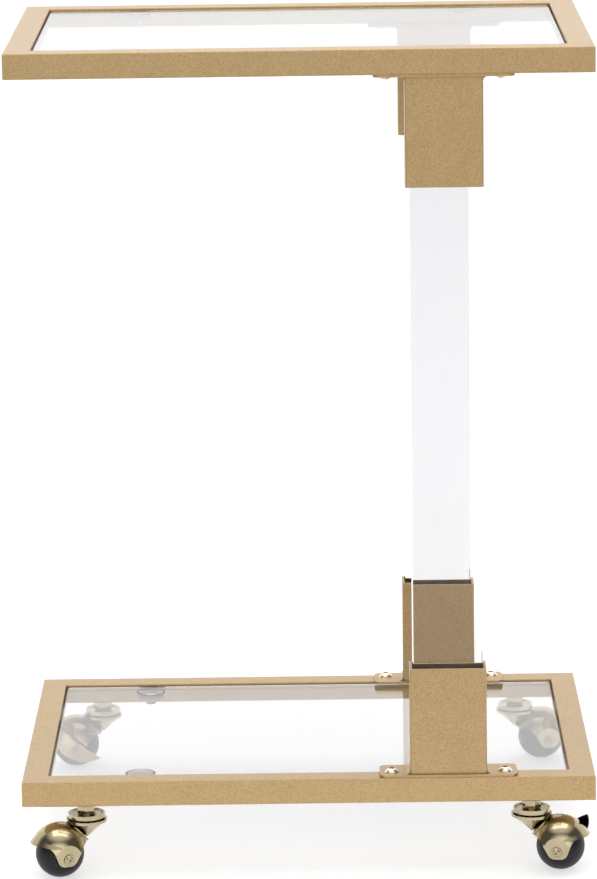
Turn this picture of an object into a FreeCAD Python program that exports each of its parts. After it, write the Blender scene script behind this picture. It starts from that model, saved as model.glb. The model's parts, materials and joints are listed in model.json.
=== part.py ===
import FreeCAD, Part
import os
import re
import Sketcher
from FreeCAD import Placement, Rotation, Vector

# Rolling bar cart: two glass shelves in mitred tube frames, joined by two acrylic posts held in
# sleeves, on four swivelling ball casters. Frame of reference: X along the width, Y from front to
# rear, Z up, origin on the floor under the centre of the cart. Lengths in millimetres, angles in
# degrees. A caster's own frame has its stem on Z, the floor at zero and its wheel trailing along X.

SIZES = {
    # frames
    "cart_width": 450, "cart_depth": 315, "cart_height": 650, "tube": 20, "tube_wall": 1.5,
    "tube_round": 1.2, "base_lift": 56.5,
    # glass shelves on suction cups
    "glass_thick": 5, "glass_recess": 2, "glass_gap": 1, "glass_round": 3, "glass_arris": 0.5,
    "cup_radius": 12, "cup_rise": 3, "cup_waist": 6, "cup_stem": 2.9, "cup_hollow": 1.2,
    "cup_foot": 4, "cup_foot_drop": 5, "cup_lip": 1.5, "cup_x": 133, "cup_inset": 15,
    "tab_width": 22, "tab_reach": 30, "tab_thick": 1.5, "tab_round": 4, "tab_hole": 3,
    # posts, sleeves and their flange plates
    "post_x": 110, "post_width": 55, "post_depth": 21, "post_arris": 0.7,
    "sleeve_width": 60, "sleeve_depth": 26, "sleeve_rise": 85, "sleeve_wall": 2, "sleeve_round": 1.4,
    "plate_length": 108, "plate_depth": 30, "plate_thick": 2, "plate_inset": 1, "plate_round": 5,
    "weld_reach": 3.2, "weld_waist": 1, "weld_root": 0.5, "weld_round": 3,
    # flange screws and their rivet nuts
    "screw_spacing": 89, "screw_line": 12, "screw_radius": 3, "screw_length": 13,
    "screw_clearance": 0.3,
    "screw_head": 6, "screw_dome": 7.1, "screw_socket": 2.3, "screw_socket_deep": 2,
    "nut_radius": 4.5, "nut_bulge": 5.6, "nut_bulge_rise": 2.5, "nut_length": 12,
    # screws in the post ends, their threaded inserts and the room for their heads
    "end_screw_line": 12, "end_screw_radius": 2, "end_screw_head": 3.6, "end_screw_head_rise": 2.2,
    "end_screw_length": 11, "end_screw_clearance": 0.2, "insert_radius": 3, "insert_length": 12,
    "head_room": 5,
    # casters: stem and swivel race
    "stem_inset": 50, "stem_radius": 4, "stem_top": 69.5, "stem_nut_radius": 6, "stem_nut_bulge": 7.2,
    "stem_nut_length": 13, "hex_corner": 7.6, "hex_rise": 7, "collar_radius": 6.2,
    "kingpin_radius": 3.5, "kingpin_head": 5.4, "kingpin_head_rise": 1.9, "kingpin_bevel": 1,
    "kingpin_gap": 0.1,
    "cap_radius": 14.5, "cap_top": 49.3, "cap_web_low": 47.3, "cap_web_high": 48.3, "cap_skirt": 46,
    "cap_dish": 13, "cap_dish_bevel": 1, "cap_under": 12.6, "ball_radius": 1.25, "race_radius": 10.5,
    "plate_radius": 16, "plate_top": 44.7, "swivel_plate_thick": 2.2, "plate_bore": 3.58,
    # casters: wheel and axle
    "trail": 23, "wheel_radius": 19, "wheel_half": 16.5, "hub_radius": 5.5, "hub_half": 18.3,
    "axle_radius": 2, "axle_bore": 2.08, "axle_head": 3, "axle_head_rise": 0.9, "axle_dimple": 1.3,
    "axle_dimple_deep": 0.7, "axle_head_bevel": 0.8,
    # casters: hood, a ball shell with flat cheeks, bosses, neck, bead and brim
    "hood_radius": 23.5, "hood_wall": 1.5, "hood_centre": 20.2, "hood_reach": 45, "cheek_flat": 21.2,
    "boss_radius": 4, "boss_top": 22.1,
    "neck_wide": 15.3, "neck_mid": 8, "neck_tip": 0.4, "neck_mid_z": 36.8, "neck_tip_z": 29.5,
    "bead_slope": 42, "bead_ring": 10.2, "bead_round": 0.9,
    "brim_low": 28.6, "brim_high": 35.1, "brim_wide": 22, "brim_narrow": 16.66, "brim_wall": 1.4,
    "brim_shift": 1.5, "brim_start": 6,
    # side view of the hood's lower edge, from the middle of the axle
    "throat_front": 14, "throat_rise": 10, "cheek_front": 4.7, "cheek_back": 7.4, "cheek_drop": 5.8,
    "mouth_front": 13, "mouth_rise": 10, "cheek_round": 6.3, "mouth_round": 6.8,
    # brake lever: a leaf cut from a shallow dome over the cheek, and its cam
    "dome_radius": 38, "dome_wall": 1.3, "dome_back": 12.7, "leaf_half": 26.2, "leaf_above": 1,
    "leaf_below": 15, "leaf_forward": 4.6, "leaf_up": 6, "lever_tilt": 38, "lever_clearance": 0.2,
    "cam_radius": 5, "cam_low": 18.5, "cam_high": 19.5, "cam_sleeve": 3, "cam_sleeve_gap": 0.1,
    "cam_bore": 3.08,
    # heading of each caster at rest, measured from +X
    "heading_front_left": 203, "heading_front_right": 348, "heading_rear_left": 180,
    "heading_rear_right": 16,
}

CORNERS = {"front_left": (-1, -1), "front_right": (1, -1), "rear_left": (-1, 1), "rear_right": (1, 1)}
BRAKED = ("front_right", "rear_left")
BEARING_BALLS = 12
NODES = []

doc = FreeCAD.newDocument("BarCart")
sheet = doc.addObject("Spreadsheet::Sheet", "Dims")
for row, (alias, number) in enumerate(SIZES.items(), start=1):
    sheet.set(f"A{row}", alias)
    sheet.set(f"B{row}", str(number))
    sheet.setAlias(f"B{row}", alias)
doc.recompute()


def in_sheet(expression):
    """Returns the expression with each size's name pointing at its cell."""
    def point_at_cell(word):
        return "Dims." + word.group() if word.group() in SIZES else word.group()
    return re.sub(r"[a-z_]+", point_at_cell, str(expression))


def bind(thing, **sizes):
    for name, expression in sizes.items():
        thing.setExpression(name, in_sheet(expression))
    return thing


def place(thing, x="0", y="0", z="0", turn=None):
    if turn is not None:
        thing.Placement = Placement(Vector(), turn)
    for axis, expression in zip("xyz", (x, y, z)):
        thing.setExpression(f"Placement.Base.{axis}", in_sheet(expression))
    return thing


def node(thing, label):
    thing.Label = label
    NODES.append(thing)
    return thing


# ---------------------------------------------------------------- Part primitives and booleans

ALONG_Y = Rotation(Vector(1, 0, 0), -90)
FLIP_X = Rotation(Vector(1, 0, 0), 180)
FLIP_Y = Rotation(Vector(0, 1, 0), 180)
FLIP_Z = Rotation(Vector(0, 0, 1), 180)


def cylinder(name, radius, height, **at):
    return place(bind(doc.addObject("Part::Cylinder", name), Radius=radius, Height=height), **at)


def cone(name, low_radius, high_radius, height, **at):
    shape = doc.addObject("Part::Cone", name)
    return place(bind(shape, Radius1=low_radius, Radius2=high_radius, Height=height), **at)


def sphere(name, radius, **at):
    return place(bind(doc.addObject("Part::Sphere", name), Radius=radius), **at)


def box(name, length, width, height, **at):
    shape = doc.addObject("Part::Box", name)
    return place(bind(shape, Length=length, Width=width, Height=height), **at)


def hexagon(name, corner, height, **at):
    shape = doc.addObject("Part::Prism", name)
    shape.Polygon = 6
    return place(bind(shape, Circumradius=corner, Height=height), **at)


def cut(name, base, *tools):
    result = doc.addObject("Part::Cut", name)
    result.Base = base
    result.Tool = tools[0] if len(tools) == 1 else fuse(name + "_tools", *tools)
    return result


def fuse(name, *shapes):
    result = doc.addObject("Part::MultiFuse", name)
    result.Shapes = list(shapes)
    result.Refine = True
    return result


def common(name, *shapes):
    result = doc.addObject("Part::MultiCommon", name)
    result.Shapes = list(shapes)
    return result


def group(name, shapes):
    result = doc.addObject("Part::Compound", name)
    result.Links = list(shapes)
    return result


# ---------------------------------------------------------------- PartDesign bodies

def new_body(name):
    return doc.addObject("PartDesign::Body", name)


def new_sketch(body, name, role, lift="0"):
    sketch = body.newObject("Sketcher::SketchObject", name)
    plane = next(f for f in body.Origin.OriginFeatures if f.Role == role)
    sketch.AttachmentSupport = [(plane, "")]
    sketch.MapMode = "FlatFace"
    sketch.setExpression("AttachmentOffset.Base.z", in_sheet(lift))
    return sketch


def fix_point(sketch, tag, geometry, position, x, y):
    """Holds a point of the sketch at (x, y) from its origin."""
    for kind, expression in (("DistanceX", x), ("DistanceY", y)):
        row = sketch.addConstraint(Sketcher.Constraint(kind, -1, 1, geometry, position, 1.0))
        sketch.renameConstraint(row, f"{tag}_{kind[-1]}")
        sketch.setExpression(f"Constraints.{tag}_{kind[-1]}", in_sheet(expression))


def polygon(body, name, role, corners, lift="0"):
    """A closed outline of straight lines with its corners at bound places."""
    sketch = new_sketch(body, name, role, lift)
    count = len(corners)
    ring = [Rotation(Vector(0, 0, 1), 360 * i / count).multVec(Vector(1, 0, 0)) for i in range(count)]
    for i in range(count):
        sketch.addGeometry(Part.LineSegment(ring[i], ring[(i + 1) % count]), False)
    for i in range(count):
        sketch.addConstraint(Sketcher.Constraint("Coincident", i, 2, (i + 1) % count, 1))
    for i, (x, y) in enumerate(corners):
        fix_point(sketch, f"corner{i}", i, 1, x, y)
    return sketch


def rectangle(body, name, role, width, height, lift="0"):
    """A rectangle centred on the sketch's origin."""
    x, y = f"({width}) / 2", f"({height}) / 2"
    corners = [(f"-{x}", f"-{y}"), (x, f"-{y}"), (x, y), (f"-{x}", y)]
    return polygon(body, name, role, corners, lift)


def circles(body, name, centres, radius, lift):
    """Equal circles at bound places, on a plane parallel to the body's XY plane."""
    sketch = new_sketch(body, name, "XY_Plane", lift)
    for i, (x, y) in enumerate(centres):
        sketch.addGeometry(Part.Circle(Vector(20 * i, 0, 0), Vector(0, 0, 1), 1), False)
        row = sketch.addConstraint(Sketcher.Constraint("Radius", i, 1.0))
        sketch.renameConstraint(row, f"radius{i}")
        sketch.setExpression(f"Constraints.radius{i}", in_sheet(radius))
        fix_point(sketch, f"centre{i}", i, 3, x, y)
    return sketch


def pad(body, sketch, length, symmetric=False):
    feature = body.newObject("PartDesign::Pad", sketch.Name + "_pad")
    feature.Profile = sketch
    feature.Midplane = symmetric
    return bind(feature, Length=length)


def pocket(body, sketch, depth, symmetric=False):
    """Cuts below the sketch's plane and checks that something was removed."""
    doc.recompute()
    before = body.Shape.Volume
    feature = body.newObject("PartDesign::Pocket", sketch.Name + "_pocket")
    feature.Profile = sketch
    feature.Midplane = symmetric
    bind(feature, Length=depth)
    doc.recompute()
    if body.Shape.Volume >= before:
        raise RuntimeError(f"{feature.Name} removed nothing")
    return feature


def straight_edges(shape, direction, wanted=lambda middle: True):
    """Names of the straight edges along a direction whose middle point is wanted."""
    names = []
    for number, edge in enumerate(shape.Edges, start=1):
        if edge.Curve.TypeId != "Part::GeomLine":
            continue
        if edge.Curve.Direction.cross(direction).Length < 1e-6 and wanted(edge.CenterOfMass):
            names.append(f"Edge{number}")
    return names


def dress(body, kind, direction, wanted=lambda middle: True, **sizes):
    """Fillets or chamfers the body's straight edges along a direction."""
    doc.recompute()
    base = body.Tip
    feature = body.newObject(f"PartDesign::{kind}", f"{base.Name}_{kind.lower()}")
    feature.Base = (base, straight_edges(base.Shape, direction, wanted))
    return bind(feature, **sizes)


# ---------------------------------------------------------------- frames

X_AXIS, Y_AXIS, Z_AXIS = Vector(1, 0, 0), Vector(0, 1, 0), Vector(0, 0, 1)
SCREW_X = ("post_x - screw_spacing / 2", "post_x + screw_spacing / 2")


def rail(label, span, **at):
    """A mitred square tube. Its outer side lies on the body's XZ plane and its bottom on XY."""
    body = new_body(label)
    half = f"{span} / 2"
    corners = [(f"-{half}", "0"), (half, "0"), (f"{half} - tube", "tube"), (f"-{half} + tube", "tube")]
    pad(body, polygon(body, label + "_outline", "XY_Plane", corners), "tube")
    dress(body, "Fillet", X_AXIS, Radius="tube_round")
    low, high = "tube_wall", "tube - tube_wall"
    bore = polygon(body, label + "_bore", "YZ_Plane", [(low, low), (high, low), (high, high), (low, high)])
    pocket(body, bore, span, symmetric=True)
    return node(place(body, **at), label)


def drill(body, tag, centres, radius, from_top):
    """Holes through the top or the bottom wall of a rail."""
    lift = "tube" if from_top else "tube_wall"
    pocket(body, circles(body, f"{body.Name}_{tag}", centres, radius, lift), "tube_wall")


def tube_frame(level, bottom):
    """Four rails. The sleeves bolt on under the top frame and on top of the base frame."""
    for side, sign, turn in (("front", -1, Rotation()), ("rear", 1, FLIP_Z)):
        body = rail(f"{level}_rail_{side}", "cart_width", y=f"{sign} * cart_depth / 2", z=bottom, turn=turn)
        towards = "-1 * " if side == "rear" else ""
        on_base = level == "base"
        drill(body, "screws", [(f"{towards}({x})", "screw_line") for x in SCREW_X], "nut_radius", on_base)
        drill(body, "head_room", [(f"{towards}post_x", "end_screw_line")], "head_room", on_base)
        if on_base:
            stems = [(f"{way} * (cart_width / 2 - stem_inset)", "tube / 2") for way in (-1, 1)]
            drill(body, "stems", stems, "stem_nut_radius", False)
    rail(f"{level}_rail_left", "cart_depth", x="-cart_width / 2", z=bottom, turn=Rotation(Z_AXIS, -90))
    rail(f"{level}_rail_right", "cart_depth", x="cart_width / 2", z=bottom, turn=Rotation(Z_AXIS, 90))


# ---------------------------------------------------------------- glass, cups and tabs

def glass(level, frame_top):
    body = new_body(f"{level}_glass")
    inset = "2 * (tube + glass_gap)"
    outline = rectangle(body, f"{level}_glass_outline", "XY_Plane", f"cart_width - {inset}",
                        f"cart_depth - {inset}")
    pad(body, outline, "glass_thick")
    dress(body, "Fillet", Z_AXIS, Radius="glass_round")
    doc.recompute()
    sheet_of_glass = body.Tip
    heights = [face.CenterOfMass.z for face in sheet_of_glass.Shape.Faces]
    arris = body.newObject("PartDesign::Chamfer", f"{level}_glass_arris")
    arris.Base = (sheet_of_glass, [f"Face{heights.index(max(heights)) + 1}"])
    bind(arris, Size="glass_arris")
    place(body, z=f"{frame_top} - glass_recess - glass_thick")
    return node(body, f"{level}_glass")


def cup_places():
    for side, sign in (("front", -1), ("rear", 1)):
        for hand, way in (("left", -1), ("right", 1)):
            yield side, sign, f"{side}_{hand}", f"{way} * cup_x"


def suction_cup(name, **at):
    """A clear cup under the glass, its stem through the tab and a bulb below. Zero is the tab's top."""
    flare = cone(name + "_flare", "cup_waist", "cup_radius", "cup_rise")
    stem = cylinder(name + "_stem", "cup_stem", "tab_thick + 1", z="-tab_thick - 0.5")
    foot = cone(name + "_foot", "cup_stem", "cup_foot", "cup_foot_drop", z="-tab_thick", turn=FLIP_X)
    hollow = cone(name + "_hollow", "cup_waist", "cup_radius - cup_lip", "cup_hollow",
                  z="cup_rise - cup_hollow")
    return place(cut(name, fuse(name + "_whole", flare, stem, foot), hollow), **at)


def glass_tab(name, turn, **at):
    """A flat tab welded to a rail's inner side, with a hole for a cup's stem. It reaches along +Y."""
    body = new_body(name)
    half = "tab_width / 2"
    corners = [(f"-{half}", "0"), (half, "0"), (half, "tab_reach"), (f"-{half}", "tab_reach")]
    pad(body, polygon(body, name + "_outline", "XY_Plane", corners), "tab_thick")
    dress(body, "Fillet", Z_AXIS, lambda middle: middle.y > 1, Radius="tab_round")
    pocket(body, circles(body, name + "_hole", [("0", "cup_inset")], "tab_hole", "tab_thick"), "tab_thick")
    return place(body, turn=turn, **at)


def glass_supports(level, frame_top):
    tab_top = f"{frame_top} - glass_recess - glass_thick - cup_rise"
    tabs = []
    cups = []
    for side, sign, corner, x in cup_places():
        wall = f"{sign} * (cart_depth / 2 - tube)"
        centre = f"{sign} * (cart_depth / 2 - tube - cup_inset)"
        turn = FLIP_Z if side == "rear" else Rotation()
        tabs.append(glass_tab(f"{level}_tab_{corner}", turn, x=x, y=wall, z=f"{tab_top} - tab_thick"))
        cups.append(suction_cup(f"{level}_cup_{corner}", x=x, y=centre, z=tab_top))
    node(group(f"{level}_tabs", tabs), f"{level}_glass_tabs")
    node(group(f"{level}_cups", cups), f"{level}_suction_cups")


# ---------------------------------------------------------------- posts and sleeves

# Each end of each post: label, side, turn from the upright front sleeve, and the rail face it sits on.
SLEEVES = (
    ("lower_sleeve_front", -1, Rotation(), "base_lift + tube"),
    ("lower_sleeve_rear", 1, FLIP_Z, "base_lift + tube"),
    ("upper_sleeve_front", -1, FLIP_Y, "cart_height - tube"),
    ("upper_sleeve_rear", 1, FLIP_X, "cart_height - tube"),
)
PLATE_CENTRE = "plate_inset + plate_depth / 2"
POST_Y = f"cart_depth / 2 - ({PLATE_CENTRE})"


def weld(body, name, way):
    """A hollow-faced fillet weld between the flange plate and one end of the sleeve."""
    foot, side = "plate_thick", "sleeve_width / 2"
    corners = [
        (f"{side} - weld_root", f"{foot} - weld_root"),
        (f"{side} + weld_reach", f"{foot} - weld_root"),
        (f"{side} + weld_reach", foot),
        (f"{side} + weld_waist", f"{foot} + weld_waist"),
        (side, f"{foot} + weld_reach"),
        (f"{side} - weld_root", f"{foot} + weld_reach"),
    ]
    section = [(f"{way} * ({x})", z) for x, z in corners]
    pad(body, polygon(body, name, "XZ_Plane", section), "sleeve_depth - 2 * sleeve_round", symmetric=True)
    waist_x = way * (SIZES["sleeve_width"] / 2 + SIZES["weld_waist"])
    dress(body, "Fillet", Y_AXIS, lambda middle: abs(middle.x - waist_x) < SIZES["weld_root"] and
          middle.z > SIZES["plate_thick"] + SIZES["weld_root"] and
          middle.z < SIZES["plate_thick"] + 2 * SIZES["weld_waist"], Radius="weld_round")


def sleeve(label, sign, turn, seat):
    """A flange plate lying on the rail, and the sleeve that stands on it between two weld fillets."""
    body = new_body(label)
    pad(body, rectangle(body, label + "_plate", "XY_Plane", "plate_length", "plate_depth"), "plate_thick")
    dress(body, "Fillet", Z_AXIS, Radius="plate_round")
    wall = rectangle(body, label + "_wall", "XY_Plane", "sleeve_width", "sleeve_depth", "plate_thick - 0.5")
    pad(body, wall, "sleeve_rise + 0.5")
    dress(body, "Fillet", Z_AXIS, lambda middle: middle.z > SIZES["plate_thick"] * 2, Radius="sleeve_round")
    for tag, way in (("left", -1), ("right", 1)):
        weld(body, f"{label}_{tag}_weld", way)
    inside = rectangle(body, label + "_inside", "XY_Plane", "sleeve_width - 2 * sleeve_wall",
                       "sleeve_depth - 2 * sleeve_wall", "plate_thick + sleeve_rise")
    pocket(body, inside, "sleeve_rise")
    screws = [(f"{way} * screw_spacing / 2", f"screw_line - ({PLATE_CENTRE})") for way in (-1, 1)]
    ears = circles(body, label + "_ears", screws, "screw_radius + screw_clearance", "plate_thick")
    pocket(body, ears, "plate_thick")
    end_hole = circles(body, label + "_end_hole", [("0", f"end_screw_line - ({PLATE_CENTRE})")],
                       "end_screw_radius + end_screw_clearance", "plate_thick")
    pocket(body, end_hole, "plate_thick")
    return node(place(body, x="post_x", y=f"{sign} * ({POST_Y})", z=seat, turn=turn), label)


def post(label, sign, turn):
    """A clear bar between two flange plates, with a blind hole in each end for its insert."""
    body = new_body(label)
    span = "cart_height - base_lift - 2 * tube - 2 * plate_thick"
    pad(body, rectangle(body, label + "_section", "XY_Plane", "post_width", "post_depth"), span)
    dress(body, "Chamfer", Z_AXIS, Size="post_arris")
    centre = [("0", f"end_screw_line - ({PLATE_CENTRE})")]
    for end, lift in (("low", "insert_length"), ("high", span)):
        hole = circles(body, f"{label}_{end}_hole", centre, "insert_radius", lift)
        pocket(body, hole, "insert_length")
    seat = "base_lift + tube + plate_thick"
    return node(place(body, x="post_x", y=f"{sign} * ({POST_Y})", z=seat, turn=turn), label)


# ---------------------------------------------------------------- screws, inserts and rivet nuts

def flange_screw(name, **at):
    """A button-head screw with a hexagon socket. Zero is under its head, and the head is up."""
    dome_drop = "sqrt(screw_dome ^ 2 - screw_head ^ 2)"
    ball = sphere(name + "_ball", "screw_dome", z=f"0 - {dome_drop}")
    disc = cylinder(name + "_disc", "screw_head + 1", "screw_dome")
    head = common(name + "_head", ball, disc)
    shank = cylinder(name + "_shank", "screw_radius", "screw_length + 1", z="-screw_length")
    socket = hexagon(name + "_socket", "screw_socket", "screw_socket_deep + 1",
                     z=f"screw_dome - {dome_drop} - screw_socket_deep")
    return place(cut(name, fuse(name + "_whole", head, shank), socket), **at)


def rivet_nut(name, radius, bulge, length, bore, **at):
    """A rivet nut set flush in a tube wall. Zero is the tube's outer face, and the nut hangs below."""
    barrel = cylinder(name + "_barrel", radius, length, z=f"-({length})")
    swell = cylinder(name + "_swell", bulge, "nut_bulge_rise", z="-tube_wall - nut_bulge_rise")
    hole = cylinder(name + "_hole", bore, f"{length} + 2", z=f"-({length}) - 1")
    return place(cut(name, fuse(name + "_whole", barrel, swell), hole), **at)


def end_screw(name, **at):
    """A pan-head screw that pulls a post onto its plate. Zero is under its head, the head is down."""
    head = cylinder(name + "_head", "end_screw_head", "end_screw_head_rise", z="-end_screw_head_rise")
    shank = cylinder(name + "_shank", "end_screw_radius", "end_screw_length + 0.5", z="-0.5")
    return place(fuse(name, head, shank), **at)


def post_insert(name, **at):
    """A threaded insert in the end of a post. Zero is the post's end, and the insert is above."""
    barrel = cylinder(name + "_barrel", "insert_radius", "insert_length")
    hole = cylinder(name + "_hole", "end_screw_radius", "insert_length + 2", z="-1")
    return place(cut(name, barrel, hole), **at)


def fasteners():
    screw_y = "cart_depth / 2 - screw_line"
    end_y = "cart_depth / 2 - end_screw_line"
    end_screws = []
    inserts = []
    for level, seat, up in (("lower", "base_lift + tube", 1), ("upper", "cart_height - tube", -1)):
        turn = Rotation() if up == 1 else FLIP_X
        screws = []
        nuts = []
        for side, sign in (("front", -1), ("rear", 1)):
            for number, x in enumerate(SCREW_X):
                at = {"x": x, "y": f"{sign} * ({screw_y})", "turn": turn}
                tag = f"{level}_{side}_{number}"
                screws.append(flange_screw(f"screw_{tag}", z=f"{seat} + {up} * plate_thick", **at))
                nuts.append(rivet_nut(f"nut_{tag}", "nut_radius", "nut_bulge", "nut_length",
                                      "screw_radius", z=seat, **at))
            at = {"x": "post_x", "y": f"{sign} * ({end_y})", "turn": turn}
            end_screws.append(end_screw(f"end_screw_{level}_{side}", z=seat, **at))
            inserts.append(post_insert(f"insert_{level}_{side}", z=f"{seat} + {up} * plate_thick", **at))
        node(group(f"{level}_screws", screws), f"{level}_sleeve_screws")
        node(group(f"{level}_nuts", nuts), f"{level}_rivet_nuts")
    node(group("all_end_screws", end_screws), "post_end_screws")
    node(group("all_inserts", inserts), "post_inserts")
    stem_nuts = []
    for corner, (way, sign) in CORNERS.items():
        at = {"x": f"{way} * (cart_width / 2 - stem_inset)", "y": f"{sign} * (cart_depth - tube) / 2"}
        stem_nuts.append(rivet_nut(f"stem_nut_{corner}", "stem_nut_radius", "stem_nut_bulge",
                                   "stem_nut_length", "stem_radius", z="base_lift", turn=FLIP_X, **at))
    node(group("all_stem_nuts", stem_nuts), "caster_stem_nuts")


# ---------------------------------------------------------------- casters

SWIVEL_PLATE_LOW = "(plate_top - swivel_plate_thick)"


def stem(name):
    """A threaded stem with its hexagon and collar, and the kingpin riveted under the swivel plate."""
    thread = cylinder(name + "_thread", "stem_radius", "stem_top - base_lift + 1", z="base_lift - 1")
    hexagon_nut = hexagon(name + "_hexagon", "hex_corner", "hex_rise", z="base_lift - hex_rise")
    collar = cylinder(name + "_collar", "collar_radius", "base_lift - hex_rise - cap_web_high",
                      z="cap_web_high")
    kingpin = cylinder(name + "_kingpin", "kingpin_radius", f"cap_web_high - {SWIVEL_PLATE_LOW} + 2",
                       z=f"{SWIVEL_PLATE_LOW} - 1")
    head = cone(name + "_rivet", "kingpin_head - kingpin_bevel", "kingpin_head", "kingpin_head_rise",
                z=f"{SWIVEL_PLATE_LOW} - kingpin_gap - kingpin_head_rise")
    return fuse(name, thread, hexagon_nut, collar, kingpin, head)


def race_cap(name):
    """The fixed upper disc of the swivel: a dished web with a raised rim and a skirt over the balls."""
    disc = cylinder(name + "_disc", "cap_radius", "cap_top - cap_skirt", z="cap_skirt")
    dish = cone(name + "_dish", "cap_dish - cap_dish_bevel", "cap_dish", "cap_top - cap_web_high",
                z="cap_web_high")
    under = cylinder(name + "_under", "cap_under", "cap_web_low - cap_skirt + 1", z="cap_skirt - 1")
    hole = cylinder(name + "_hole", "kingpin_radius", "cap_top", z="cap_skirt - 1")
    return cut(name, disc, dish, under, hole)


def bearing_balls(name):
    middle = "(plate_top + cap_web_low) / 2"
    balls = []
    for number in range(BEARING_BALLS):
        angle = f"{360 / BEARING_BALLS * number} deg"
        balls.append(sphere(f"{name}_{number}", "ball_radius", x=f"race_radius * cos({angle})",
                            y=f"race_radius * sin({angle})", z=middle))
    return group(name, balls)


def hood_outline(name):
    """The side view that the hood keeps: all above the throat and mouth, and a rounded cheek between."""
    body = new_body(name)
    corners = [
        ("-hood_reach", "throat_rise"),
        ("-throat_front", "throat_rise"),
        ("-cheek_front", "-cheek_drop"),
        ("cheek_back", "-cheek_drop"),
        ("mouth_front", "mouth_rise"),
        ("hood_reach", "mouth_rise"),
        ("hood_reach", "hood_reach"),
        ("-hood_reach", "hood_reach"),
    ]
    from_axle = [(f"trail + {u}", f"wheel_radius + {w}") for u, w in corners]
    pad(body, polygon(body, name + "_view", "XZ_Plane", from_axle), "4 * hood_radius", symmetric=True)
    axle_x, axle_z = SIZES["trail"], SIZES["wheel_radius"]
    dress(body, "Fillet", Y_AXIS, lambda middle: middle.z < axle_z, Radius="cheek_round")
    dress(body, "Fillet", Y_AXIS, lambda middle: axle_z < middle.z < axle_z + SIZES["hood_radius"] and
          abs(middle.x - axle_x) < SIZES["hood_radius"], Radius="mouth_round")
    return body


def between_cheeks(name, half):
    """A slab centred on the wheel that ends at the plane of each cheek."""
    return box(name, "4 * hood_reach", f"2 * ({half})", "4 * hood_reach", x="trail - 2 * hood_reach",
               y=f"-({half})", z="hood_centre - 2 * hood_reach")


def hood_bead(name):
    """The raised bead where the neck runs into the ball."""
    reach = "sqrt(hood_radius ^ 2 - bead_ring ^ 2)"
    bead = bind(doc.addObject("Part::Torus", name), Radius1="bead_ring", Radius2="bead_round")
    return place(bead, x=f"trail - {reach} * cos(bead_slope * 1 deg)",
                 z=f"hood_centre + {reach} * sin(bead_slope * 1 deg)",
                 turn=Rotation(Y_AXIS, SIZES["bead_slope"] - 90))


def brim(name):
    """The part of a shallow cone that stands a little outside the ball over the mouth."""
    at = {"x": "trail + brim_shift", "z": "brim_low"}
    rise = "brim_high - brim_low"
    outside = cone(name + "_outside", "brim_wide", "brim_narrow", rise, **at)
    inside = cone(name + "_inside", "brim_wide - brim_wall", "brim_narrow - brim_wall", rise, **at)
    behind = box(name + "_behind", "hood_reach", "2 * hood_reach", "hood_reach",
                 x="trail + brim_start", y="-hood_reach")
    return common(name, cut(name + "_ring", outside, inside), behind)


def hood(name, braked):
    """A pressed ball hood with its brim, tapered neck and swivel plate, all one thin shell."""
    centre = {"x": "trail", "z": "hood_centre"}
    across = {"x": "trail", "z": "wheel_radius", "turn": ALONG_Y}
    upper_rise = f"{SWIVEL_PLATE_LOW} - neck_mid_z"
    lower_rise = "neck_mid_z - neck_tip_z"
    ball = common(name + "_flattened", sphere(name + "_ball", "hood_radius", **centre),
                  between_cheeks(name + "_slab", "cheek_flat"))
    upper_neck = cone(name + "_upper_neck", "neck_mid", "neck_wide", upper_rise, z="neck_mid_z")
    lower_neck = cone(name + "_lower_neck", "neck_tip", "neck_mid", lower_rise, z="neck_tip_z")
    plate = cylinder(name + "_plate", "plate_radius", "swivel_plate_thick", z=SWIVEL_PLATE_LOW)
    boss = cylinder(name + "_boss", "boss_radius", "2 * boss_top", y="-boss_top", **across)
    outer = fuse(name + "_outer", ball, upper_neck, lower_neck, plate, boss, hood_bead(name + "_bead"))
    room = common(name + "_room", sphere(name + "_hollow", "hood_radius - hood_wall", **centre),
                  between_cheeks(name + "_gap", "cheek_flat - hood_wall"))
    upper_room = cone(name + "_upper_room", "neck_mid - hood_wall", "neck_wide - hood_wall",
                      upper_rise, z="neck_mid_z")
    lower_room = cone(name + "_lower_room", "0", "neck_mid - hood_wall", f"{lower_rise} - hood_wall",
                      z="neck_tip_z + hood_wall")
    shell = cut(name + "_shell", outer, room, upper_room, lower_room)
    kept = common(name + "_kept", fuse(name + "_formed", shell, brim(name + "_brim")),
                  hood_outline(name + "_outline"))
    kingpin_hole = cylinder(name + "_kingpin_hole", "plate_bore", "2 * swivel_plate_thick",
                            z=f"{SWIVEL_PLATE_LOW} - swivel_plate_thick / 2")
    holes = [kingpin_hole, cylinder(name + "_axle_hole", "axle_radius", "2 * hood_reach",
                                    y="-hood_reach", **across)]
    if braked:
        holes.append(cylinder(name + "_cam_hole", "cam_bore", "hood_reach", **across))
    return cut(name, kept, *holes)


def axle(name, braked):
    """The axle, with a dimpled rivet head outside each cheek, or outside the lever on a braked caster."""
    far = "(dome_radius - dome_back + lever_clearance)" if braked else "boss_top"
    at = {"x": "trail", "z": "wheel_radius", "turn": ALONG_Y}
    shaft = cylinder(name + "_shaft", "axle_radius", f"boss_top + {far}", y="-boss_top", **at)
    near_head = cone(name + "_near_head", "axle_head - axle_head_bevel", "axle_head", "axle_head_rise",
                     y="-boss_top - axle_head_rise", **at)
    far_head = cone(name + "_far_head", "axle_head", "axle_head - axle_head_bevel", "axle_head_rise",
                    y=far, **at)
    dimples = [
        cylinder(f"{name}_{side}_dimple", "axle_dimple", "2 * axle_dimple_deep", y=face, **at)
        for side, face in (("near", "-boss_top - axle_head_rise - axle_dimple_deep"),
                           ("far", f"{far} + axle_head_rise - axle_dimple_deep"))
    ]
    return cut(name, fuse(name + "_whole", shaft, near_head, far_head), *dimples)


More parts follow.
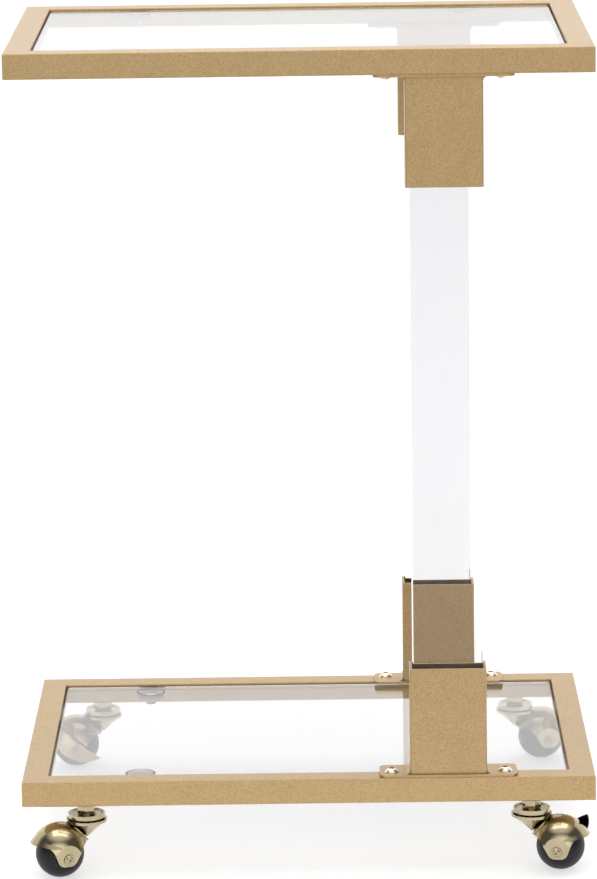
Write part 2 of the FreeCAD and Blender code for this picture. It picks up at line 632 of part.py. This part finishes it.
def wheel(name):
    """A ball wheel with flattened sides and a short hub."""
    at = {"x": "trail", "z": "wheel_radius", "turn": ALONG_Y}
    ball = sphere(name + "_ball", "wheel_radius", x="trail", z="wheel_radius")
    slab = cylinder(name + "_slab", "wheel_radius + 1", "2 * wheel_half", y="-wheel_half", **at)
    hub = cylinder(name + "_hub", "hub_radius", "2 * hub_half", y="-hub_half", **at)
    bore = cylinder(name + "_bore", "axle_bore", "2 * hub_half + 2", y="-hub_half - 1", **at)
    return cut(name, fuse(name + "_whole", common(name + "_tread", ball, slab), hub), bore)


def brake_lever(name):
    """A rocker pressed to a shallow dome, nearly straight above and deeply curved below, outside a cheek."""
    outside = sphere(name + "_outside", "dome_radius", y="-dome_back")
    inside = sphere(name + "_inside", "dome_radius - dome_wall", y="-dome_back")
    arcs = {rise: f"(leaf_half ^ 2 + {rise} ^ 2) / (2 * {rise})" for rise in ("leaf_above", "leaf_below")}
    leaves = [
        cylinder(f"{name}_{rise}", arcs[rise], "dome_radius", x="leaf_forward", turn=ALONG_Y,
                 z=f"leaf_up + {way} * ({arcs[rise]} - {rise})")
        for rise, way in (("leaf_above", -1), ("leaf_below", 1))
    ]
    leaf = common(name + "_leaf", cut(name + "_skin", outside, inside), *leaves)
    hole = cylinder(name + "_hole", "axle_bore", "dome_radius", turn=ALONG_Y)
    lever = cut(name + "_upright", leaf, hole)
    lever.Placement = Placement(Vector(), Rotation(Y_AXIS, -SIZES["lever_tilt"]))
    place(lever, x="trail", z="wheel_radius")
    return group(name, [lever])


def brake_cam(name):
    """The cam between cheek and wheel, its sleeve running through the cheek to the lever."""
    at = {"x": "trail", "z": "wheel_radius", "turn": ALONG_Y}
    disc = cylinder(name + "_disc", "cam_radius", "cam_high - cam_low", y="cam_low", **at)
    sleeve_end = "dome_radius - dome_back - dome_wall - cam_sleeve_gap"
    tube = cylinder(name + "_tube", "cam_sleeve", f"{sleeve_end} - cam_low", y="cam_low", **at)
    bore = cylinder(name + "_bore", "axle_bore", "dome_radius", **at)
    return cut(name, fuse(name + "_whole", disc, tube), bore)


def caster(corner, way, sign):
    braked = corner in BRAKED
    pieces = {
        "stem": stem(f"{corner}_own_stem"),
        "race_cap": race_cap(f"{corner}_own_cap"),
        "bearing_balls": bearing_balls(f"{corner}_own_balls"),
        "hood": hood(f"{corner}_own_hood", braked),
        "axle": axle(f"{corner}_own_axle", braked),
        "wheel": wheel(f"{corner}_own_wheel"),
    }
    if braked:
        pieces["brake_lever"] = brake_lever(f"{corner}_own_lever")
        pieces["brake_cam"] = brake_cam(f"{corner}_own_cam")
    for piece, shape in pieces.items():
        place(shape, x=f"{way} * (cart_width / 2 - stem_inset)", y=f"{sign} * (cart_depth - tube) / 2")
        shape.setExpression("Placement.Rotation.Angle", in_sheet(f"heading_{corner}"))
        node(shape, f"{corner}_{piece}")


# ---------------------------------------------------------------- the cart

for level, bottom in (("base", "base_lift"), ("top", "cart_height - tube")):
    tube_frame(level, bottom)
    glass(level, f"{bottom} + tube")
    glass_supports(level, f"{bottom} + tube")
for label, sign, turn, seat in SLEEVES:
    sleeve(label, sign, turn, seat)
post("post_front", -1, Rotation())
post("post_rear", 1, FLIP_Z)
fasteners()
for corner, (way, sign) in CORNERS.items():
    caster(corner, way, sign)
doc.recompute()

for thing in doc.Objects:
    if "Invalid" in thing.State or "Error" in thing.State:
        raise RuntimeError(f"{thing.Name} failed: {thing.State}")
os.makedirs("parts", exist_ok=True)
for piece in NODES:
    if piece.Shape.isNull() or not piece.Shape.isValid():
        raise RuntimeError(f"{piece.Label} has no valid shape")
    piece.Shape.exportStep(f"parts/{piece.Label}.step")
print(f"{len(NODES)} nodes, {sum(len(piece.Shape.Solids) for piece in NODES)} solids")
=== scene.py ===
import json
import math

import bpy
from mathutils import Matrix, Vector

# Looks for the rolling bar cart: materials, floor, studio light and camera.
# Metres, in the CAD model's frame: X along the width, Y from front to rear, Z up.

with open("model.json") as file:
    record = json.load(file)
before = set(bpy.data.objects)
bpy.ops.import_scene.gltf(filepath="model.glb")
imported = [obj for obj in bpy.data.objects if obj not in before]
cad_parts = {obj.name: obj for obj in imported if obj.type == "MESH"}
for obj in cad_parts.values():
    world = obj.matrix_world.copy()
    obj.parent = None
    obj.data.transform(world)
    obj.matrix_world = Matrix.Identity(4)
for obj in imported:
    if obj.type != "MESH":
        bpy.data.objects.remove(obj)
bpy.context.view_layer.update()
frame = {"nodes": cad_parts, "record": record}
nodes = frame["nodes"]
record = frame["record"]
MM = 0.001
GRAIN_DEPTH = 0.2 * MM


# ---------------------------------------------------------------- node helpers

class Tree:
    """A small wrapper that adds nodes to a material or world and links them by name."""

    def __init__(self, owner):
        owner.use_nodes = True
        self.tree = owner.node_tree
        self.tree.nodes.clear()

    def add(self, kind, props=None, **inputs):
        """Adds a node, sets its properties and feeds its inputs, with _ in a name for each space."""
        node = self.tree.nodes.new("ShaderNode" + kind)
        for name, value in (props or {}).items():
            setattr(node, name, value)
        for name, value in inputs.items():
            self.feed(node, name.replace("_", " "), value)
        return node

    def feed(self, node, name, value):
        """Links or sets an input, found by its name or, as i0, i1 and so on, by its number."""
        numbered = name[0] == "i" and name[1:].isdigit()
        socket = node.inputs[int(name[1:]) if numbered else name]
        if isinstance(value, bpy.types.NodeSocket):
            self.tree.links.new(value, socket)
        else:
            socket.default_value = value

    def math(self, operation, a, b):
        return self.add("Math", {"operation": operation}, i0=a, i1=b).outputs[0]

    def span(self, value, low, high):
        """Maps 0..1 onto low..high."""
        node = self.add("MapRange", None, Value=value)
        node.inputs["To Min"].default_value = low
        node.inputs["To Max"].default_value = high
        return node.outputs[0]

    def ramp(self, value, low, high):
        """Maps low..high onto 0..1, clamped and eased."""
        node = self.add("MapRange", {"interpolation_type": "SMOOTHSTEP"}, Value=value)
        node.inputs["From Min"].default_value = low
        node.inputs["From Max"].default_value = high
        return node.outputs[0]

    def blend(self, factor, colour_a, colour_b):
        """Mixes two colours. Inputs 6 and 7 and output 2 are the Mix node's colour sockets."""
        node = self.add("Mix", {"data_type": "RGBA"}, i0=factor, i6=colour_a, i7=colour_b)
        return node.outputs[2]

    def noise(self, scale, detail=2.0, roughness=0.5, stretch=(1, 1, 1)):
        place = self.add("TexCoord").outputs["Object"]
        mapped = self.add("Mapping", None, Vector=place)
        mapped.inputs["Scale"].default_value = stretch
        node = self.add("TexNoise", None, Vector=mapped.outputs[0], Scale=scale, Detail=detail)
        node.inputs["Roughness"].default_value = roughness
        return node.outputs["Fac"]

    def paint_crevice_shade(self, colour, shade_colour, reach):
        """Paints shade into the colour: darkens it in corners and gaps narrower than the reach, where
        shade falls.
        """
        closed, open_wide, samples = 0.35, 0.95, 6
        open_air = self.add("AmbientOcclusion", {"samples": samples}, Distance=reach).outputs["AO"]
        return self.blend(self.ramp(open_air, closed, open_wide), shade_colour, colour)

    def flakes(self, scale):
        """A random colour for each of many small cells."""
        place = self.add("TexCoord").outputs["Object"]
        return self.add("TexVoronoi", None, Vector=place, Scale=scale).outputs["Color"]


def rgb(red, green, blue):
    return (red, green, blue, 1.0)


def new_material(name):
    material = bpy.data.materials.new(name)
    return material, Tree(material)


def finish_material(tree, shader):
    output = tree.add("OutputMaterial")
    tree.tree.links.new(shader.outputs[0], output.inputs["Surface"])


# ---------------------------------------------------------------- materials

def gold_paint():
    """Satin metallic paint on steel: fine flakes, faint orange peel, and painted shade that darkens
    its corners.
    """
    material, t = new_material("gold_paint")
    glint = t.span(t.flakes(scale=1500.0), 0.0, 1.0)
    glint_share = 0.55
    cloud = t.noise(scale=30.0, detail=4.0, roughness=0.6)
    tone = t.blend(t.span(cloud, 0.0, 1.0), rgb(0.345, 0.220, 0.091), rgb(0.455, 0.312, 0.144))
    flaked = t.blend(t.math("MULTIPLY", glint, glint_share), tone, rgb(0.80, 0.57, 0.30))
    # Painted shade: the colour turns deep brown in corners and gaps within 2.5 mm.
    colour = t.paint_crevice_shade(flaked, rgb(0.30, 0.19, 0.085), 2.5 * MM)
    peel = t.noise(scale=900.0)
    bump = t.add("Bump", None, Strength=0.08, Distance=GRAIN_DEPTH, Height=peel)
    sparkle = t.add("Bump", None, Strength=0.30, Distance=GRAIN_DEPTH, Height=glint,
                    Normal=bump.outputs[0])
    rough = t.span(cloud, 0.38, 0.48)
    shader = t.add("BsdfPrincipled", None, Base_Color=colour, Metallic=0.70, Roughness=rough,
                   Normal=sparkle.outputs[0])
    shader.inputs["Coat Weight"].default_value = 0.22
    shader.inputs["Coat Roughness"].default_value = 0.12
    finish_material(t, shader)
    return material


def polished_brass():
    """Pale plated brass: polished, with faint polishing lines, a few duller spots and painted shade in
    its corners.
    """
    material, t = new_material("polished_brass")
    cloud = t.noise(scale=60.0, detail=4.0, roughness=0.6)
    plated = t.blend(cloud, rgb(0.38, 0.318, 0.195), rgb(0.58, 0.505, 0.335))
    # Painted shade: the colour turns near black in corners and gaps within 2 mm.
    colour = t.paint_crevice_shade(plated, rgb(0.10, 0.075, 0.04), 2.0 * MM)
    lines = t.noise(scale=500.0, detail=3.0, roughness=0.6, stretch=(1.0, 1.0, 6.0))
    bump = t.add("Bump", None, Strength=0.04, Distance=GRAIN_DEPTH, Height=lines)
    rough = t.span(cloud, 0.08, 0.20)
    shader = t.add("BsdfPrincipled", None, Base_Color=colour, Metallic=1.0, Roughness=rough,
                   Normal=bump.outputs[0])
    finish_material(t, shader)
    return material


def plain_metal(name, colour_a, colour_b, low_rough, high_rough):
    """Metal with faint scratches, soft clouds of colour and gloss, and painted shade in its corners,
    for screws, nuts and inserts.
    """
    material, t = new_material(name)
    cloud = t.noise(scale=120.0, detail=3.0)
    # Painted shade: the colour turns near black in corners and gaps within 1.5 mm.
    colour = t.paint_crevice_shade(t.blend(cloud, colour_a, colour_b), rgb(0.06, 0.05, 0.04), 1.5 * MM)
    scratches = t.noise(scale=1400.0, stretch=(1.0, 4.0, 1.0))
    bump = t.add("Bump", None, Strength=0.05, Distance=GRAIN_DEPTH, Height=scratches)
    shader = t.add("BsdfPrincipled", None, Base_Color=colour, Metallic=1.0,
                   Roughness=t.span(cloud, low_rough, high_rough), Normal=bump.outputs[0])
    finish_material(t, shader)
    return material


def black_wheel():
    """Moulded black nylon with a fine grain and slightly dusty, scuffed tread."""
    material, t = new_material("black_wheel")
    grain = t.noise(scale=1500.0)
    scuff = t.noise(scale=180.0, detail=5.0, roughness=0.65)
    dusty = t.span(scuff, -0.6, 0.75)
    colour = t.blend(t.math("MAXIMUM", dusty, 0.0), rgb(0.006, 0.006, 0.008), rgb(0.018, 0.018, 0.021))
    bump = t.add("Bump", None, Strength=0.10, Distance=GRAIN_DEPTH, Height=grain)
    shader = t.add("BsdfPrincipled", None, Base_Color=colour, Roughness=t.span(scuff, 0.35, 0.55),
                   Normal=bump.outputs[0])
    shader.inputs["Specular IOR Level"].default_value = 0.3
    finish_material(t, shader)
    return material


def clear(name, tint, ior, ripple=0.02, rough=(0.0, 0.02), scale=9.0):
    """Clear glass or plastic with a barely wavy surface and a few faint marks."""
    material, t = new_material(name)
    wave = t.noise(scale=scale, detail=1.0)
    bump = t.add("Bump", None, Strength=ripple, Distance=MM, Height=wave)
    haze = t.noise(scale=220.0, detail=4.0, roughness=0.6)
    shader = t.add("BsdfPrincipled", None, Base_Color=tint, Roughness=t.span(haze, *rough),
                   Normal=bump.outputs[0])
    shader.inputs["IOR"].default_value = ior
    shader.inputs["Transmission Weight"].default_value = 1.0
    finish_material(t, shader)
    return material


MATERIALS = {
    "gold_paint": gold_paint(),
    "polished_brass": polished_brass(),
    "bright_screw": plain_metal(
        "bright_screw", rgb(0.74, 0.66, 0.52), rgb(0.90, 0.84, 0.72), low_rough=0.10, high_rough=0.20),
    "zinc_steel": plain_metal(
        "zinc_steel", rgb(0.50, 0.50, 0.52), rgb(0.68, 0.68, 0.70), low_rough=0.28, high_rough=0.42),
    "insert_brass": plain_metal(
        "insert_brass", rgb(0.62, 0.45, 0.18), rgb(0.78, 0.60, 0.28), low_rough=0.22, high_rough=0.36),
    "black_wheel": black_wheel(),
    "clear_glass": clear("clear_glass", rgb(0.765, 0.770, 0.785), ior=1.52),
    "clear_acrylic": clear("clear_acrylic", rgb(0.885, 0.887, 0.895), ior=1.49),
    "clear_cup": clear("clear_cup", rgb(0.95, 0.955, 0.955), ior=1.30, ripple=0.2, rough=(0.04, 0.14),
                       scale=300.0),
}

SLOT_OF = {entry["node"]: entry["material_slot"] for entry in record["subparts"]}


def paint(thing, slot):
    """Gives the object one of the materials, in all its material slots."""
    if not thing.material_slots:
        thing.data.materials.append(None)
    for material_slot in thing.material_slots:
        material_slot.link = "OBJECT"
        material_slot.material = MATERIALS[slot]


for name, thing in nodes.items():
    paint(thing, SLOT_OF[name])


# ---------------------------------------------------------------- floor, light and camera

# The sweep's own glow, and the stretch of floor in front of the cart over which it grows.
SWEEP_GLOW = 0.61
GLOW_START = (-0.85, -0.21)
# Each light of the surround grows over a span of one part of the direction, up or front to rear.
OVERHEAD_SPAN = (0.70, 0.95)
BEHIND_SPAN = (0.10, 0.45)
FRONT_SPAN = (-0.50, -0.90)
FRONT_STRENGTH = 1.60
LIGHT_SHARE = 0.9
DIM_STRENGTH = 0.13


def studio():
    """A pale sweep under and behind the cart that glows softly, as a lit product table does."""
    half_width, front, back, rise, bend, steps = 6.0, -9.0, 5.0, 6.0, 1.5, 12
    profile = [(front, 0.0)]
    profile += [
        (back + bend * math.sin(a), bend * (1 - math.cos(a)))
        for a in (math.pi / 2 * i / steps for i in range(steps + 1))
    ]
    profile.append((back + bend, rise))
    vertices = [(x, y, z) for y, z in profile for x in (-half_width, half_width)]
    faces = [(2 * i, 2 * i + 1, 2 * i + 3, 2 * i + 2) for i in range(len(profile) - 1)]
    mesh = bpy.data.meshes.new("sweep")
    mesh.from_pydata(vertices, [], faces)
    mesh.shade_smooth()
    sweep = bpy.data.objects.new("sweep", mesh)
    bpy.context.scene.collection.objects.link(sweep)
    material, t = new_material("pale_sweep")
    cloud = t.noise(scale=3.0)
    colour = t.blend(cloud, rgb(0.59, 0.59, 0.595), rgb(0.61, 0.61, 0.61))
    along = t.add("SeparateXYZ", None, Vector=t.add("TexCoord").outputs["Object"]).outputs["Y"]
    lit = t.ramp(along, *GLOW_START)
    shader = t.add("BsdfPrincipled", None, Base_Color=colour, Roughness=0.9,
                   Emission_Strength=t.math("MULTIPLY", lit, SWEEP_GLOW))
    shader.inputs["Specular IOR Level"].default_value = 0.1
    shader.inputs["Emission Color"].default_value = rgb(1.0, 1.0, 1.0)
    finish_material(t, shader)
    mesh.materials.append(material)


def world_light():
    """A white surround behind and overhead, a soft light in front, and dim to both sides."""
    world = bpy.data.worlds.new("surround")
    bpy.context.scene.world = world
    t = Tree(world)
    direction = t.add("TexCoord").outputs["Generated"]
    parts = t.add("SeparateXYZ", None, Vector=direction)
    overhead = t.ramp(parts.outputs["Z"], *OVERHEAD_SPAN)
    behind = t.ramp(parts.outputs["Y"], *BEHIND_SPAN)
    front = t.math("MULTIPLY", t.ramp(parts.outputs["Y"], *FRONT_SPAN), FRONT_STRENGTH)
    wide = t.math("MAXIMUM", t.math("MAXIMUM", overhead, behind), front)
    strength = t.math("ADD", t.math("MULTIPLY", wide, LIGHT_SHARE), DIM_STRENGTH)
    background = t.add("Background", None, Color=rgb(1.0, 0.995, 0.985), Strength=strength)
    output = t.add("OutputWorld")
    t.tree.links.new(background.outputs[0], output.inputs["Surface"])


def overhead_lamp():
    """A large square lamp above and a little behind the cart."""
    place, target, side, watts = Vector((0.0, 0.6, 3.2)), Vector((0.0, 0.0, 0.3)), 3.0, 42.0
    data = bpy.data.lights.new("overhead", "AREA")
    data.size = side
    data.energy = watts
    thing = bpy.data.objects.new("overhead", data)
    bpy.context.scene.collection.objects.link(thing)
    thing.location = place
    thing.rotation_euler = (target - place).to_track_quat("-Z", "Y").to_euler()


# The camera stands 3.6 m in front of the cart, looks 12 degrees down and leans by under a degree.
CAMERA_PLACE = Vector((0.0131, -3.6027, 1.0776))
YAW = -0.0050
PITCH = 0.2085
ROLL = -0.0141
LENS = 187.1
SENSOR_HEIGHT = 36.0
CLIP_END = 50.0


def camera():
    data = bpy.data.cameras.new("camera")
    data.sensor_fit = "VERTICAL"
    data.sensor_height = SENSOR_HEIGHT
    data.lens = LENS
    data.clip_end = CLIP_END
    thing = bpy.data.objects.new("camera", data)
    bpy.context.scene.collection.objects.link(thing)
    level = math.cos(PITCH)
    forward = Vector((math.sin(YAW) * level, math.cos(YAW) * level, -math.sin(PITCH)))
    right = forward.cross(Vector((0, 0, 1))).normalized()
    up = right.cross(forward)
    leaning_right = right * math.cos(ROLL) + up * math.sin(ROLL)
    leaning_up = up * math.cos(ROLL) - right * math.sin(ROLL)
    turn = Matrix((leaning_right, leaning_up, -forward)).transposed()
    thing.matrix_world = Matrix.Translation(CAMERA_PLACE) @ turn.to_4x4()
    bpy.context.scene.camera = thing


studio()
world_light()
overhead_lamp()
camera()
bpy.context.scene.view_settings.view_transform = "Standard"
